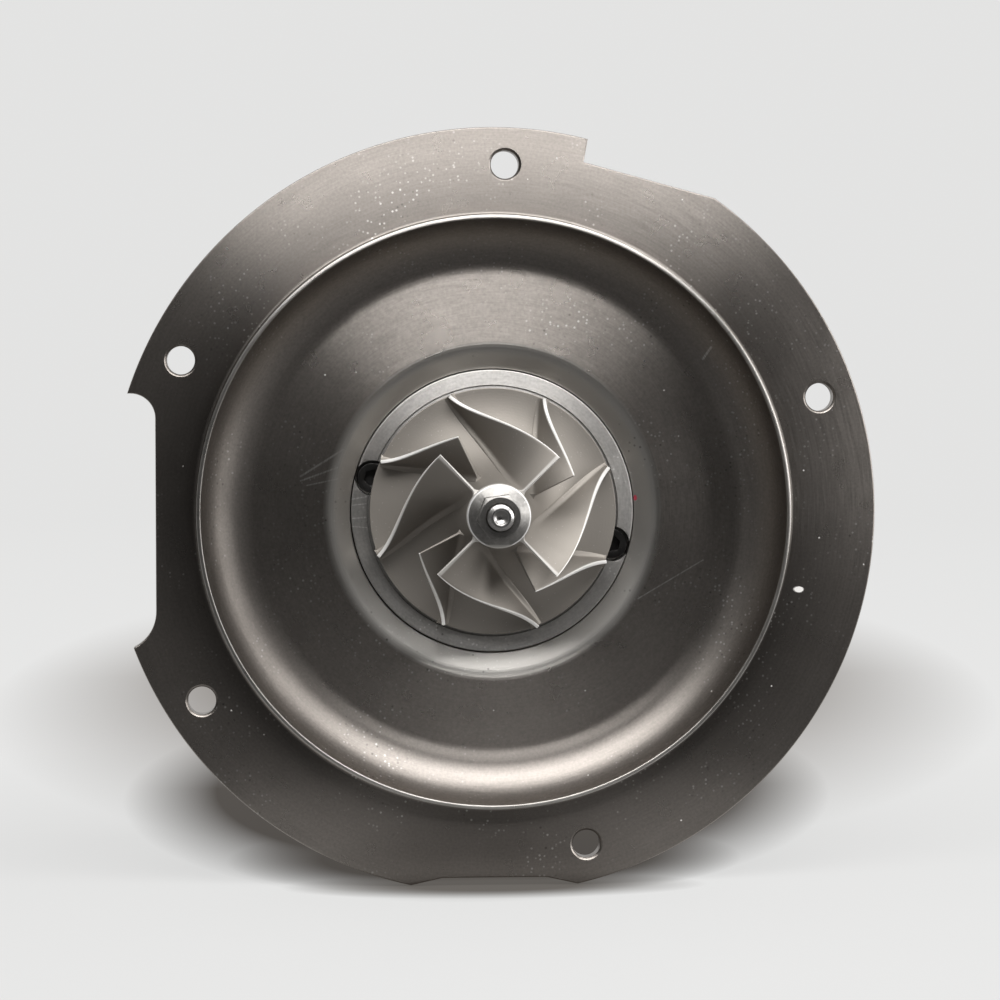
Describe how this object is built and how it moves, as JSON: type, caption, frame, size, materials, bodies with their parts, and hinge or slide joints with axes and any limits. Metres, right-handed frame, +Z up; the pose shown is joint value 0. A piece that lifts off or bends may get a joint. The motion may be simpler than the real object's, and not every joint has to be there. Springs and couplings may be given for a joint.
{
  "type": "turbo cartridge",
  "caption": "Turbocharger centre cartridge: turned compressor backplate with pilot rim and cover holes, bladed compressor and turbine wheels on a spinning shaft, oil-fed bearing housing.",
  "frame": {"origin": "on the shaft's axis, in the plane of the flange's front face, where the compressor cover seats", "axes": "the compressor nose looks along -Y, the turbine along +Y, the oil inlet points up along +Z and +X is to the right as seen from the compressor"},
  "size_m": [0.1463, 0.1023, 0.1482],
  "materials": {
    "turned_steel": "turned, bare and lightly oiled",
    "machined_aluminium": "turned bright",
    "milled_aluminium": "milled blades with fine tool marks",
    "bright_steel": "plated bright",
    "dark_steel": "black oxide",
    "ground_steel": "ground",
    "cast_iron": "sand cast, machined faces",
    "bronze": "machined",
    "spring_steel": "hardened",
    "seal_rubber": "moulded",
    "heat_steel": "pressed sheet",
    "turbine_alloy": "investment cast"
  },
  "bodies": {
    "housing": {"compressor_backplate": "turned_steel", "seal_plate": "machined_aluminium", "seal_plate_screws": "dark_steel", "seal_plate_oring": "seal_rubber", "bearing_housing": "cast_iron", "backplate_bolts": "bright_steel", "backplate_oring": "seal_rubber", "locating_dowel": "ground_steel", "thrust_bearing": "bronze", "thrust_bearing_pins": "ground_steel", "oil_deflector": "heat_steel", "bearing_circlips": "spring_steel", "compressor_seal_ring": "spring_steel", "turbine_seal_ring": "spring_steel", "heat_shield": "heat_steel"},
    "rotor": {"rotor_shaft": "ground_steel", "turbine_wheel": "turbine_alloy", "thrust_collar": "ground_steel", "flinger_sleeve": "ground_steel", "compressor_wheel": "milled_aluminium", "compressor_nut": "bright_steel"},
    "compressor_bush": {"compressor_side_bush": "bronze"},
    "turbine_bush": {"turbine_side_bush": "bronze"}
  },
  "joints": [
    {"name": "rotor_spin", "type": "hinge", "parent": "housing", "child": "rotor", "pos_m": [0, 0, 0], "axis": [0, -1, 0], "continuous": true},
    {"name": "compressor_bush_spin", "type": "hinge", "parent": "housing", "child": "compressor_bush", "pos_m": [0, 0, 0], "axis": [0, -1, 0], "continuous": true},
    {"name": "turbine_bush_spin", "type": "hinge", "parent": "housing", "child": "turbine_bush", "pos_m": [0, 0, 0], "axis": [0, -1, 0], "continuous": true}
  ]
}
